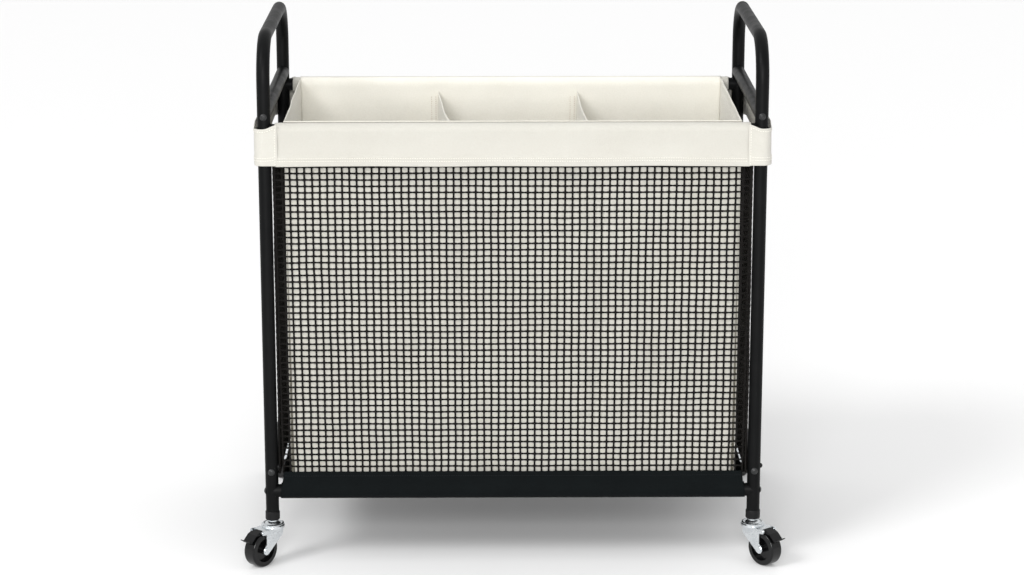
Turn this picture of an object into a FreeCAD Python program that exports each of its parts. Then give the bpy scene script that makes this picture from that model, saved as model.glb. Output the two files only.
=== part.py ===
import FreeCAD, Part
import math
import os

# Three-compartment laundry cart on four braked casters.
# Millimetres, +Z up, origin on the floor under the middle of the cart, front towards -Y.

# Overall frame
POST_SPAN_X = 700.0        # between post axes, left to right
POST_SPAN_Y = 375.0        # between post axes, front to rear
TUBE_R = 9.5               # every frame tube
TUBE_WALL = 1.2
SPIGOT_GAP = 0.1           # between a swaged spigot and the tube round it
SPIGOT_LENGTH = 30.0
LEG_FOOT_Z = 66.0          # lower end of the leg tubes
LEG_TOP_Z = 132.0          # where a leg meets its post
POST_TOP_Z = 628.0         # where a post meets its handle
HANDLE_AXIS_Z = 766.0      # axis of the grip
HANDLE_BEND_R = 60.0
HANDLE_RAIL_Z = 660.0      # rail between the legs of a handle
TOP_RAIL_Z = 639.5         # front and rear rails inside the header
LONG_RAIL_Z = 107.5        # front and rear rails inside the base skirt
CROSS_RAIL_Z = 138.0       # left and right rails low down
RAIL_CUT_GAP = 0.05        # between a coped rail end and the tube it meets

# Fasteners
SCREW_R = 2.5
SCREW_HEAD_R = 5.0
SCREW_HEAD_H = 2.2
SCREW_REACH = 23.0         # from the post axis to the tip
HEX_R = 1.9
INSERT_START = 11.0        # from the post axis
INSERT_LENGTH = 12.0
PIN_R = 3.5
PIN_Z = 144.0
PIN_INNER = 6.4            # from the post axis
PIN_STRAIGHT = 10.3
PIN_DOME = 2.2

# Leg sockets
SOCKET_R = 10.6
SOCKET_BOTTOM_Z = 64.0
SOCKET_TOP_Z = 77.0
SOCKET_PLUG_TOP_Z = 96.0
SOCKET_CHAMFER = 1.4

# Fabric
CLOTH = 1.5
HEADER_BOTTOM_Z = 590.0
HEADER_CORNER_Z = 643.0    # top edge where the header passes round a post
HEADER_OUT = 11.3          # outer face of the header from the rail axis
HEADER_CORNER_X = 352.2    # centre of the header's corner bend
SLEEVE_HALF_X = 334.0      # the header and skirt wrap the rails inside this
LINER_HALF_X = 323.0
LINER_SIDE_TOP_Z = 650.0
NET_Y = 186.6
NET_X = 338.4
NET_HALF_X = 337.0
NET_HALF_Y = 177.4
NET_TOP_Z = 600.0
NET_BOTTOM_Z = 136.5
SKIRT_OUT = 11.2
SKIRT_IN = 9.8
SKIRT_BOTTOM_Z = 98.0
FLOOR_Z = 117.5
BOARD_Z = 119.5
BOARD_T = 3.0
BOARD_GAP = 2.0
DIVIDER_TOP_Z = 630.0
# Each divider runs from its front X to its rear X, so the compartments are not quite square.
DIVIDERS = {"left": (-72.0, -110.0), "right": (122.0, 103.0)}

# Casters: u runs from the stem towards the wheel, w along the axle
CASTER_YAW = 40.0          # each wheel trails outwards, this far from the Y axis
TRAIL = 26.0
WHEEL_R = 25.0
WHEEL_HALF_W = 10.0
HUB_HALF_W = 10.5
AXLE_R = 3.0
BORE_R = 3.06
CHEEK_IN = 10.9
CHEEK_T = 1.8
CHEEK_REAR_U = 24.0        # rear edge of the cheek above the axle
FORK_PLATE_Z = 53.2
FORK_TOP_Z = 55.0
DISC_R = 17.3
DISC_TOP_Z = 57.2
STEM_R = 4.0
STEM_HOLE_R = 4.08
STEM_HEAD_R = 6.5
STEM_HEAD_Z = 50.4
COLLAR_R = 7.0
CAP_R = 16.2
BRAKE_PIN_R = 1.5
BRAKE_PIN_HOLE_R = 1.56
BRAKE_PIN = (32.0, 52.8)   # u, z
BOSS_R = 2.9
LEVER_HALF_W = 8.0
LEVER_T = 2.4
TOE_T = 1.4
PAD_DROP = 3.0             # underside of the brake pad below the pin

HALF_X = POST_SPAN_X / 2
HALF_Y = POST_SPAN_Y / 2
TUBE_IN_R = TUBE_R - TUBE_WALL
SPIGOT_R = TUBE_IN_R - SPIGOT_GAP
SPIGOT_IN_R = SPIGOT_R - TUBE_WALL
CHEEK_OUT = CHEEK_IN + CHEEK_T
SIDES = {"left": -1, "right": 1}
ENDS = {"front": -1, "rear": 1}
Z_AXIS = FreeCAD.Vector(0, 0, 1)


def vec(x, y, z):
    return FreeCAD.Vector(x, y, z)


def export(node, shape):
    shape.exportStep("parts/" + node + ".step")


def corners():
    """Name and signs of the four posts."""
    for end, sy in ENDS.items():
        for side, sx in SIDES.items():
            yield end + "_" + side, sx, sy


def bar(radius, start, end):
    """Solid round bar between two points."""
    axis = end.sub(start)
    return Part.makeCylinder(radius, axis.Length, start, axis)


def pipe(start, end, radius=TUBE_R, bore=TUBE_IN_R):
    return bar(radius, start, end).cut(bar(bore, start, end))


def box(x0, x1, y0, y1, z0, z1):
    return Part.makeBox(x1 - x0, y1 - y0, z1 - z0, vec(x0, y0, z0))


def prism(points, direction):
    """Closed polygon pushed along a direction."""
    face = Part.Face(Part.makePolygon(points + [points[0]]))
    return face.extrude(direction)


def revolved(profile):
    """Polygon of (radius, z) points turned about Z."""
    points = [vec(r, 0, z) for r, z in profile]
    face = Part.Face(Part.makePolygon(points + [points[0]]))
    return face.revolve(vec(0, 0, 0), Z_AXIS, 360)


# ---------------------------------------------------------------- frame

def screw_line(sx, sy, z, along):
    """Post point at height z and the unit direction from outside towards the rail."""
    point = vec(sx * HALF_X, sy * HALF_Y, z)
    inward = vec(-sx, 0, 0) if along == "x" else vec(0, -sy, 0)
    return point, inward


def screw_places():
    """Every rail end: height of the rail and the axis it runs along."""
    return [(HANDLE_RAIL_Z, "y"), (TOP_RAIL_Z, "x"), (LONG_RAIL_Z, "x"), (CROSS_RAIL_Z, "y")]


def drilled(shape, sx, sy, low, high):
    """Cut the screw and pin holes that fall between two heights."""
    for z, along in screw_places():
        if low < z < high:
            point, inward = screw_line(sx, sy, z, along)
            far = inward * (TUBE_R + 2)
            shape = shape.cut(bar(SCREW_R + 0.1, point.sub(far), point.add(far)))
    if low < PIN_Z < high:
        start = vec(sx * HALF_X + 2, sy * HALF_Y, PIN_Z)
        shape = shape.cut(bar(PIN_R + 0.1, start, start.add(vec(TUBE_R, 0, 0))))
    return shape


def make_post(sx, sy):
    post = pipe(vec(sx * HALF_X, sy * HALF_Y, LEG_TOP_Z), vec(sx * HALF_X, sy * HALF_Y, POST_TOP_Z))
    return drilled(post, sx, sy, LEG_TOP_Z, POST_TOP_Z)


def make_leg(sx, sy):
    profile = [(TUBE_IN_R, LEG_FOOT_Z), (TUBE_R, LEG_FOOT_Z), (TUBE_R, LEG_TOP_Z),
               (SPIGOT_R, LEG_TOP_Z), (SPIGOT_R, LEG_TOP_Z + SPIGOT_LENGTH),
               (SPIGOT_IN_R, LEG_TOP_Z + SPIGOT_LENGTH), (SPIGOT_IN_R, LEG_TOP_Z - 2),
               (TUBE_IN_R, LEG_TOP_Z - 3.5)]
    leg = revolved(profile)
    leg.translate(vec(sx * HALF_X, sy * HALF_Y, 0))
    return drilled(leg, sx, sy, LEG_FOOT_Z, LEG_TOP_Z + SPIGOT_LENGTH)


def handle_sweep(sx, radius):
    """U-shaped round bar: up, over and down, with a bend at each end of the grip."""
    x = sx * HALF_X
    bend = HANDLE_BEND_R
    low = HANDLE_AXIS_Z - bend
    near = HALF_Y - bend
    slack = bend * (1 - math.sqrt(0.5))
    mid_y = HALF_Y - slack
    mid_z = HANDLE_AXIS_Z - slack
    edges = [Part.makeLine(vec(x, -HALF_Y, POST_TOP_Z), vec(x, -HALF_Y, low)),
             Part.Arc(vec(x, -HALF_Y, low), vec(x, -mid_y, mid_z), vec(x, -near, HANDLE_AXIS_Z)).toShape(),
             Part.makeLine(vec(x, -near, HANDLE_AXIS_Z), vec(x, near, HANDLE_AXIS_Z)),
             Part.Arc(vec(x, near, HANDLE_AXIS_Z), vec(x, mid_y, mid_z), vec(x, HALF_Y, low)).toShape(),
             Part.makeLine(vec(x, HALF_Y, low), vec(x, HALF_Y, POST_TOP_Z))]
    section = Part.Wire([Part.makeCircle(radius, vec(x, -HALF_Y, POST_TOP_Z), Z_AXIS)])
    return Part.Wire(edges).makePipeShell([section], True, True)


def make_handle(sx):
    handle = handle_sweep(sx, TUBE_R).cut(handle_sweep(sx, TUBE_IN_R))
    for sy in ENDS.values():
        profile = [(SPIGOT_IN_R, POST_TOP_Z - SPIGOT_LENGTH), (SPIGOT_R, POST_TOP_Z - SPIGOT_LENGTH),
                   (SPIGOT_R, POST_TOP_Z), (TUBE_IN_R, POST_TOP_Z), (TUBE_IN_R, POST_TOP_Z + 3.5),
                   (SPIGOT_IN_R, POST_TOP_Z + 2)]
        spigot = revolved(profile)
        spigot.translate(vec(sx * HALF_X, sy * HALF_Y, 0))
        shoulder = pipe(vec(sx * HALF_X, sy * HALF_Y, POST_TOP_Z),
                        vec(sx * HALF_X, sy * HALF_Y, POST_TOP_Z + 2), TUBE_R, SPIGOT_IN_R)
        handle = handle.fuse([spigot, shoulder])
        handle = drilled(handle, sx, sy, POST_TOP_Z, HANDLE_AXIS_Z)
    return handle.removeSplitter()


def coped(rail, z, places):
    """Shape the rail ends to the tubes that they meet."""
    for sx, sy in places:
        foot = vec(sx * HALF_X, sy * HALF_Y, z - 40)
        rail = rail.cut(bar(TUBE_R + RAIL_CUT_GAP, foot, foot.add(vec(0, 0, 80))))
    return rail


def make_long_rail(sy, z):
    rail = pipe(vec(-HALF_X, sy * HALF_Y, z), vec(HALF_X, sy * HALF_Y, z))
    return coped(rail, z, [(-1, sy), (1, sy)])


def make_cross_rail(sx, z):
    rail = pipe(vec(sx * HALF_X, -HALF_Y, z), vec(sx * HALF_X, HALF_Y, z))
    return coped(rail, z, [(sx, -1), (sx, 1)])


def make_screw(sx, sy, z, along):
    point, inward = screw_line(sx, sy, z, along)
    seat = point.sub(inward * TUBE_R)
    shank = bar(SCREW_R, seat, point.add(inward * SCREW_REACH))
    sphere_r = (SCREW_HEAD_R ** 2 + SCREW_HEAD_H ** 2) / (2 * SCREW_HEAD_H)
    dome = Part.makeSphere(sphere_r, seat.add(inward * (sphere_r - SCREW_HEAD_H)))
    head = dome.common(bar(SCREW_HEAD_R + 1, seat, seat.sub(inward * 5)))
    hexagon = Part.makePolygon([vec(HEX_R * math.cos(math.radians(a)), HEX_R * math.sin(math.radians(a)), 0)
                                for a in range(0, 361, 60)])
    recess = Part.Face(hexagon).extrude(vec(0, 0, 3))
    recess.Placement = FreeCAD.Placement(seat.sub(inward * 0.9), FreeCAD.Rotation(Z_AXIS, inward.negative()))
    return head.fuse(shank).cut(recess)


def make_insert(sx, sy, z, along):
    point, inward = screw_line(sx, sy, z, along)
    start = point.add(inward * INSERT_START)
    end = start.add(inward * INSERT_LENGTH)
    insert = pipe(start, end, TUBE_IN_R - 0.1, SCREW_R + 0.05)
    foot = vec(point.x, point.y, z - 30)
    return insert.cut(bar(TUBE_R + RAIL_CUT_GAP, foot, foot.add(vec(0, 0, 60))))


def make_pin(sx, sy):
    axis = vec(1, 0, 0)
    post = vec(sx * HALF_X, sy * HALF_Y, PIN_Z)
    stem = bar(PIN_R, post.add(axis * PIN_INNER), post.add(axis * PIN_STRAIGHT))
    sphere_r = (PIN_R ** 2 + PIN_DOME ** 2) / (2 * PIN_DOME)
    dome = Part.makeSphere(sphere_r, post.add(axis * (PIN_STRAIGHT + PIN_DOME - sphere_r)))
    cap = dome.common(bar(PIN_R, post.add(axis * PIN_STRAIGHT), post.add(axis * 16)))
    return stem.fuse(cap).removeSplitter()


def make_socket(sx, sy):
    profile = [(STEM_HOLE_R, SOCKET_BOTTOM_Z), (SOCKET_R - SOCKET_CHAMFER, SOCKET_BOTTOM_Z),
               (SOCKET_R, SOCKET_BOTTOM_Z + SOCKET_CHAMFER), (SOCKET_R, SOCKET_TOP_Z - 1),
               (TUBE_R + 0.4, SOCKET_TOP_Z), (TUBE_R, SOCKET_TOP_Z), (TUBE_R, LEG_FOOT_Z),
               (TUBE_IN_R - 0.05, LEG_FOOT_Z), (TUBE_IN_R - 0.05, SOCKET_PLUG_TOP_Z),
               (STEM_HOLE_R, SOCKET_PLUG_TOP_Z)]
    socket = revolved(profile)
    socket.translate(vec(sx * HALF_X, sy * HALF_Y, 0))
    return socket


def export_frame():
    for side, sx in SIDES.items():
        export("handle_" + side, make_handle(sx))
        export("handle_rail_" + side, make_cross_rail(sx, HANDLE_RAIL_Z))
        export("bottom_rail_" + side, make_cross_rail(sx, CROSS_RAIL_Z))
    for end, sy in ENDS.items():
        export("top_rail_" + end, make_long_rail(sy, TOP_RAIL_Z))
        export("bottom_rail_" + end, make_long_rail(sy, LONG_RAIL_Z))
    for name, sx, sy in corners():
        export("post_" + name, make_post(sx, sy))
        export("leg_" + name, make_leg(sx, sy))
    places = [(sx, sy) for _, sx, sy in corners()]
    handle_screws = [make_screw(sx, sy, HANDLE_RAIL_Z, "y") for sx, sy in places]
    rail_screws = [make_screw(sx, sy, z, along) for sx, sy in places for z, along in screw_places()[1:]]
    inserts = [make_insert(sx, sy, z, along) for sx, sy in places for z, along in screw_places()]
    export("handle_screws", Part.Compound(handle_screws))
    export("rail_screws", Part.Compound(rail_screws))
    export("rail_inserts", Part.Compound(inserts))
    export("leg_pins", Part.Compound([make_pin(sx, sy) for sx, sy in places]))
    export("leg_sockets", Part.Compound([make_socket(sx, sy) for sx, sy in places]))


# ---------------------------------------------------------------- fabric

def over_rail(sy, z, half_x, outer, inner):
    """Half sleeve over the top of a rail, open downwards."""
    ring = pipe(vec(-half_x, sy * HALF_Y, z), vec(half_x, sy * HALF_Y, z), outer, inner)
    y = sy * HALF_Y
    return ring.common(box(-half_x, half_x, y - outer, y + outer, z, z + outer))


def y_slab(sy, y_out, half_x, z0, z1):
    """Upright cloth whose outer face is y_out from the middle, across the cart."""
    y0, y1 = sorted((sy * y_out, sy * (y_out - CLOTH)))
    return box(-half_x, half_x, y0, y1, z0, z1)


def x_slab(sx, x_out, half_y, z0, z1):
    x0, x1 = sorted((sx * x_out, sx * (x_out - CLOTH)))
    return box(x0, x1, -half_y, half_y, z0, z1)


def make_header_long(sy):
    """Front or rear header: sleeve over the top rail and a flap down to the net."""
    sleeve = over_rail(sy, TOP_RAIL_Z, SLEEVE_HALF_X, HEADER_OUT, HEADER_OUT - CLOTH)
    flap = y_slab(sy, HALF_Y + HEADER_OUT, SLEEVE_HALF_X, HEADER_BOTTOM_Z, TOP_RAIL_Z)
    wings = y_slab(sy, HALF_Y + HEADER_OUT, HEADER_CORNER_X, HEADER_BOTTOM_Z, TOP_RAIL_Z)
    return sleeve.fuse([flap, wings]).removeSplitter()


def make_header_side(sx):
    """Left or right header, which bends round both posts to meet the long headers."""
    x_out = HEADER_CORNER_X + HEADER_OUT
    shape = x_slab(sx, x_out, HALF_Y, HEADER_BOTTOM_Z, HEADER_CORNER_Z)
    for sy in ENDS.values():
        foot = vec(sx * HEADER_CORNER_X, sy * HALF_Y, HEADER_BOTTOM_Z)
        top = vec(foot.x, foot.y, HEADER_CORNER_Z)
        ring = pipe(foot, top, HEADER_OUT, HEADER_OUT - CLOTH)
        x0, x1 = sorted((foot.x, sx * (x_out + 1)))
        y0, y1 = sorted((foot.y, sy * (HALF_Y + HEADER_OUT + 1)))
        shape = shape.fuse(ring.common(box(x0, x1, y0, y1, foot.z, top.z)))
    return shape.removeSplitter()


def make_liner_long(sy):
    """Inner wall that hangs from the inner side of the top rail."""
    return y_slab(sy, HALF_Y - HEADER_OUT + CLOTH, LINER_HALF_X, BOARD_Z, TOP_RAIL_Z)


def make_liner_side(sx):
    half_y = HALF_Y - HEADER_OUT - 0.05
    return x_slab(sx, LINER_HALF_X, half_y, BOARD_Z, LINER_SIDE_TOP_Z)


def inner_half_y():
    """From the middle to the inner face of the front and rear liners."""
    return HALF_Y - HEADER_OUT


def divider_x(side, y, offset=0.0):
    """X of a divider's middle plane at a depth, with an offset to either side."""
    front_x, rear_x = DIVIDERS[side]
    share = (y + inner_half_y()) / (2 * inner_half_y())
    return front_x + (rear_x - front_x) * share + offset


def make_divider(side):
    reach = inner_half_y() - 0.05
    half = CLOTH / 2
    points = [vec(divider_x(side, -reach, -half), -reach, BOARD_Z),
              vec(divider_x(side, -reach, half), -reach, BOARD_Z),
              vec(divider_x(side, reach, half), reach, BOARD_Z),
              vec(divider_x(side, reach, -half), reach, BOARD_Z)]
    return prism(points, vec(0, 0, DIVIDER_TOP_Z - BOARD_Z))


def make_board(left_edge, right_edge):
    """Stiff board on the floor of a compartment; each edge is an X for a given Y."""
    reach = inner_half_y() - BOARD_GAP
    points = [vec(left_edge(-reach), -reach, BOARD_Z), vec(right_edge(-reach), -reach, BOARD_Z),
              vec(right_edge(reach), reach, BOARD_Z), vec(left_edge(reach), reach, BOARD_Z)]
    return prism(points, vec(0, 0, BOARD_T))


def make_base_skirt():
    """Black base: it wraps the long bottom rails and carries the floor between them."""
    body = box(-SLEEVE_HALF_X, SLEEVE_HALF_X, -HALF_Y, HALF_Y, FLOOR_Z, FLOOR_Z + CLOTH)
    for sy in ENDS.values():
        y = sy * HALF_Y
        ring = pipe(vec(-SLEEVE_HALF_X, y, LONG_RAIL_Z), vec(SLEEVE_HALF_X, y, LONG_RAIL_Z),
                    SKIRT_OUT, SKIRT_IN)
        rise = NET_Y - CLOTH
        foot_z = LONG_RAIL_Z + 4.0
        points = [vec(-SLEEVE_HALF_X, y + sy * (SKIRT_OUT - 0.6), foot_z),
                  vec(-SLEEVE_HALF_X, sy * (rise + CLOTH), NET_BOTTOM_Z),
                  vec(-SLEEVE_HALF_X, sy * rise, NET_BOTTOM_Z),
                  vec(-SLEEVE_HALF_X, y + sy * (SKIRT_IN - 1.0), foot_z + 2.0)]
        panel = prism(points, vec(2 * SLEEVE_HALF_X, 0, 0))
        bore = bar(SKIRT_IN, vec(-HALF_X, y, LONG_RAIL_Z), vec(HALF_X, y, LONG_RAIL_Z))
        body = body.fuse([ring, panel]).cut(bore)
    for sx in SIDES.values():
        wall = x_slab(sx, SLEEVE_HALF_X, HALF_Y - SKIRT_OUT + 0.5, SKIRT_BOTTOM_Z, NET_BOTTOM_Z)
        body = body.fuse(wall)
    return body.removeSplitter()


def export_fabric():
    for end, sy in ENDS.items():
        export("header_" + end, make_header_long(sy))
        export("liner_" + end, make_liner_long(sy))
        export("net_" + end, y_slab(sy, NET_Y, NET_HALF_X, NET_BOTTOM_Z, NET_TOP_Z))
    for side, sx in SIDES.items():
        export("header_" + side, make_header_side(sx))
        export("liner_" + side, make_liner_side(sx))
        export("net_" + side, x_slab(sx, NET_X, NET_HALF_Y, NET_BOTTOM_Z, NET_TOP_Z))
        export("divider_" + side, make_divider(side))
    edge = LINER_HALF_X - CLOTH - BOARD_GAP
    export("base_board_left", make_board(lambda y: -edge, lambda y: divider_x("left", y, -BOARD_GAP)))
    export("base_board_middle", make_board(lambda y: divider_x("left", y, BOARD_GAP),
                                           lambda y: divider_x("right", y, -BOARD_GAP)))
    export("base_board_right", make_board(lambda y: divider_x("right", y, BOARD_GAP), lambda y: edge))
    export("base_skirt", make_base_skirt())


# ---------------------------------------------------------------- casters

def plate_between(start, end, start_r, end_r, w0, w1):
    """Plate in the u-z plane with two round ends joined by straight tangent sides."""
    (u0, z0), (u1, z1) = start, end
    length = math.hypot(u1 - u0, z1 - z0)
    heading = math.atan2(z1 - z0, u1 - u0)
    lean = math.acos((start_r - end_r) / length)
    points = []
    for (u, z), radius, sign in (((u0, z0), start_r, 1), ((u1, z1), end_r, 1),
                                 ((u1, z1), end_r, -1), ((u0, z0), start_r, -1)):
        angle = heading + sign * lean
        points.append(vec(u + radius * math.cos(angle), w0, z + radius * math.sin(angle)))
    thick = vec(0, w1 - w0, 0)
    web = prism(points, thick)
    ends = [Part.makeCylinder(start_r, w1 - w0, vec(u0, w0, z0), thick),
            Part.makeCylinder(end_r, w1 - w0, vec(u1, w0, z1), thick)]
    return web.fuse(ends)


def caster_fork():
    """Pressed fork: round head with a raised race, flat top and two cheeks."""
    plate_end = BRAKE_PIN[0] - BOSS_R - 0.5
    plate = box(-8, plate_end, -CHEEK_OUT, CHEEK_OUT, FORK_PLATE_Z, FORK_TOP_Z)
    head = Part.makeCylinder(DISC_R, DISC_TOP_Z - FORK_PLATE_Z, vec(0, 0, FORK_PLATE_Z))
    head = head.makeChamfer(1.2, [e for e in head.Edges if e.BoundBox.ZMin > DISC_TOP_Z - 0.01])
    shape = plate.fuse(head)
    u, z = BRAKE_PIN
    for w0 in (-CHEEK_OUT, CHEEK_IN):
        w1 = w0 + CHEEK_T
        arm = plate_between((0, 47.0), (TRAIL, WHEEL_R), 8.0, 6.5, w0, w1)
        ear = plate_between((CHEEK_REAR_U, z - 1.0), BRAKE_PIN, 3.2, 3.2, w0, w1)
        web = prism([vec(0, w0, 47.0), vec(TRAIL, w0, WHEEL_R), vec(CHEEK_REAR_U + 2, w0, z - 2),
                     vec(u, w0, z), vec(u, w0, FORK_TOP_Z), vec(-8, w0, FORK_TOP_Z), vec(-8, w0, 47.0)],
                    vec(0, CHEEK_T, 0))
        shape = shape.fuse([arm, ear, web])
    shape = shape.cut(Part.makeCylinder(STEM_HOLE_R, 12, vec(0, 0, FORK_PLATE_Z - 5)))
    for (u, z), radius in (((TRAIL, WHEEL_R), AXLE_R), (BRAKE_PIN, BRAKE_PIN_R)):
        shape = shape.cut(Part.makeCylinder(radius, 40, vec(u, -20, z), vec(0, 1, 0)))
    return shape.removeSplitter()


def caster_axles():
    """Riveted wheel axle and the pin of the brake lever."""
    shapes = []
    for (u, z), radius, head_r, head_h in (((TRAIL, WHEEL_R), AXLE_R, 4.6, 1.4),
                                           (BRAKE_PIN, BRAKE_PIN_R, 2.4, 0.8)):
        shaft = bar(radius, vec(u, -CHEEK_OUT, z), vec(u, CHEEK_OUT, z))
        heads = [bar(head_r, vec(u, sign * CHEEK_OUT, z), vec(u, sign * (CHEEK_OUT + head_h), z))
                 for sign in (-1, 1)]
        shapes.append(shaft.fuse(heads).removeSplitter())
    return Part.Compound(shapes)


def caster_wheel():
    """Moulded wheel with rounded tread edges, a recessed web each side and a hub."""
    edge = 2.5
    rim_in = 17.5
    hub_r = 6.0
    web = 4.0
    half = WHEEL_HALF_W
    tread = Part.makeCylinder(WHEEL_R, 2 * half, vec(0, 0, -half))
    tread = tread.makeFillet(edge, [e for e in tread.Edges if abs(e.BoundBox.ZLength) < 0.01])
    for z0 in (web, -half - 1):
        recess = Part.makeCylinder(rim_in, half - web + 1, vec(0, 0, z0))
        recess = recess.cut(Part.makeCylinder(hub_r, half - web + 1, vec(0, 0, z0)))
        tread = tread.cut(recess)
    hub = Part.makeCylinder(hub_r, 2 * HUB_HALF_W, vec(0, 0, -HUB_HALF_W))
    wheel = tread.fuse(hub).cut(Part.makeCylinder(BORE_R, 40, vec(0, 0, -20))).removeSplitter()
    wheel.rotate(vec(0, 0, 0), vec(1, 0, 0), 90)
    wheel.translate(vec(TRAIL, 0, WHEEL_R))
    return wheel


def caster_brake():
    """Pedal on its pin: a boss with a pad, an arm down behind the wheel and a thin toe plate."""
    u, z = BRAKE_PIN
    half = LEVER_HALF_W
    shoulder = (u + 11.0, z - 2.0)
    heel = (u + 20.4, z - 10.4)
    toe = (u + 26.0, z - 7.0)
    r = LEVER_T / 2
    arm = plate_between((u, z), shoulder, BOSS_R, r, -half, half)
    back = plate_between(shoulder, heel, r, r, -half, half)
    plate = plate_between(heel, toe, TOE_T / 2 + 0.2, TOE_T / 2, -half, half)
    pad = box(u + 1.0, u + 9.0, -half, half, z - PAD_DROP, z)
    lever = arm.fuse([back, plate, pad])
    hole = Part.makeCylinder(BRAKE_PIN_HOLE_R, 40, vec(u, -20, z), vec(0, 1, 0))
    return lever.cut(hole).removeSplitter()


def caster_stem():
    """Stem: a head that carries the fork, and a domed cap over the race up to the leg."""
    head = Part.makeCylinder(STEM_HEAD_R, FORK_PLATE_Z - 0.3 - STEM_HEAD_Z, vec(0, 0, STEM_HEAD_Z))
    shaft = Part.makeCylinder(STEM_R, 40.0, vec(0, 0, STEM_HEAD_Z))
    cap_z = DISC_TOP_Z + 0.4
    cap = revolved([(STEM_R - 1, cap_z), (CAP_R, cap_z), (CAP_R, cap_z + 0.9), (CAP_R - 2.5, cap_z + 1.6),
                    (CAP_R - 4.5, cap_z + 1.2), (COLLAR_R + 1.5, cap_z + 3.4), (COLLAR_R, cap_z + 4.2),
                    (COLLAR_R, SOCKET_BOTTOM_Z), (STEM_R - 1, SOCKET_BOTTOM_Z)])
    return head.fuse([shaft, cap]).removeSplitter()


def at_corner(shape, sx, sy):
    """Turn a caster part to trail outwards and move it under its post."""
    yaw = math.radians(CASTER_YAW)
    heading = math.degrees(math.atan2(sy * math.cos(yaw), sx * math.sin(yaw)))
    placed = shape.copy()
    placed.rotate(vec(0, 0, 0), Z_AXIS, heading)
    placed.translate(vec(sx * HALF_X, sy * HALF_Y, 0))
    return placed


def export_casters():
    moving = {"caster_fork": caster_fork(), "caster_axles": caster_axles(),
              "caster_wheel": caster_wheel(), "caster_brake": caster_brake()}
    for name, sx, sy in corners():
        for piece, shape in moving.items():
            export(piece + "_" + name, at_corner(shape, sx, sy))
    stem = caster_stem()
    export("caster_stems", Part.Compound([at_corner(stem, sx, sy) for _, sx, sy in corners()]))


export_frame()
export_fabric()
export_casters()
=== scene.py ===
import math

import bpy
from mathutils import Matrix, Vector, noise


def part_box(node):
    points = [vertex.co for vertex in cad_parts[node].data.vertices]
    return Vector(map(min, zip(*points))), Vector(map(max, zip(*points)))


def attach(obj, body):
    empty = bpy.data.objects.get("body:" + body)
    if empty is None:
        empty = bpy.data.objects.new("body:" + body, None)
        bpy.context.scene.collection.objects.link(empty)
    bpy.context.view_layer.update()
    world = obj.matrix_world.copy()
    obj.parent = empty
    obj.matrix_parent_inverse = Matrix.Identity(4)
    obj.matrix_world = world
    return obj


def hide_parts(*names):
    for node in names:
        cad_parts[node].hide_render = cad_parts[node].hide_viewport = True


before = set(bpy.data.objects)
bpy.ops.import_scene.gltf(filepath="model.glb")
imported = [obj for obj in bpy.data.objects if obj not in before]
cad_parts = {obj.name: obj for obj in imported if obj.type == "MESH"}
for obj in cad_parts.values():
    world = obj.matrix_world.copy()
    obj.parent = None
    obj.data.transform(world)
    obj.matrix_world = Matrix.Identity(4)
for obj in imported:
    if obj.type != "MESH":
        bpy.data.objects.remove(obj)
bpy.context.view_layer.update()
scene = bpy.context.scene


def middle(node):
    low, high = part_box(node)
    return (low + high) / 2


# Places that everything below is built from, in metres. The front faces -Y.
POST_Y = -middle("post_front_right").y
RAIL_Z = middle("top_rail_front").z
LOW_RAIL_Z = middle("bottom_rail_front").z
HEADER_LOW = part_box("header_front")[0]
HEADER_Y = -HEADER_LOW.y
HEM_Z = HEADER_LOW.z
SIDE_LOW, SIDE_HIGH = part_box("header_left")
SIDE_X = -SIDE_LOW.x
CORNER_Z = SIDE_HIGH.z
LINER_LOW, LINER_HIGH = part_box("liner_front")
LINER_X = LINER_HIGH.x
LINER_Y = -LINER_LOW.y
BAG_FLOOR_Z = LINER_LOW.z
LINER_SIDE_TOP_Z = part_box("liner_left")[1].z
NET_LOW, NET_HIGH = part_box("net_front")
NET_X = NET_HIGH.x
NET_Y = -NET_LOW.y
NET_SIDE_X = -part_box("net_left")[0].x
SKIRT_LOW, SKIRT_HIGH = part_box("base_skirt")
SKIRT_X = SKIRT_HIGH.x
SKIRT_Y = SKIRT_HIGH.y
DIVIDER_TOP_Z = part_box("divider_left")[1].z
SLEEVE_R = HEADER_Y - POST_Y
SLEEVE_X = 0.335
BAG_DEPTH = 2 * (POST_Y - SLEEVE_R)

# Thickness of each kind of cloth
CLOTH = 0.0014
LINER_CLOTH = 0.0011
DIVIDER_CLOTH = 0.0013
FLOOR_CLOTH = 0.0012

# Hems and stitches; a row's place is its distance from the cloth's edge
HEM_DEPTH = 0.0125
HEM_ROWS = (0.0078, 0.0116)
EDGE_ROW = 0.004
LAP_ROW = 0.0035
STITCH_PITCH = 0.0034
STITCH_LENGTH = 0.0024
STITCH_R = 0.00034
STITCH_LIFT = 0.0001
SURFACE_STEP = 0.002

# Net twine: cell size, radius of the upright and level cords, and where they cross
NET_PITCH_X = 0.01055
NET_PITCH_Z = 0.0093
CORD_R = 0.00138
LEVEL_CORD_R = 0.00112
KNOT_R = 0.0018
CORD_SIDES = 5


# ---------------------------------------------------------------- materials

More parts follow.
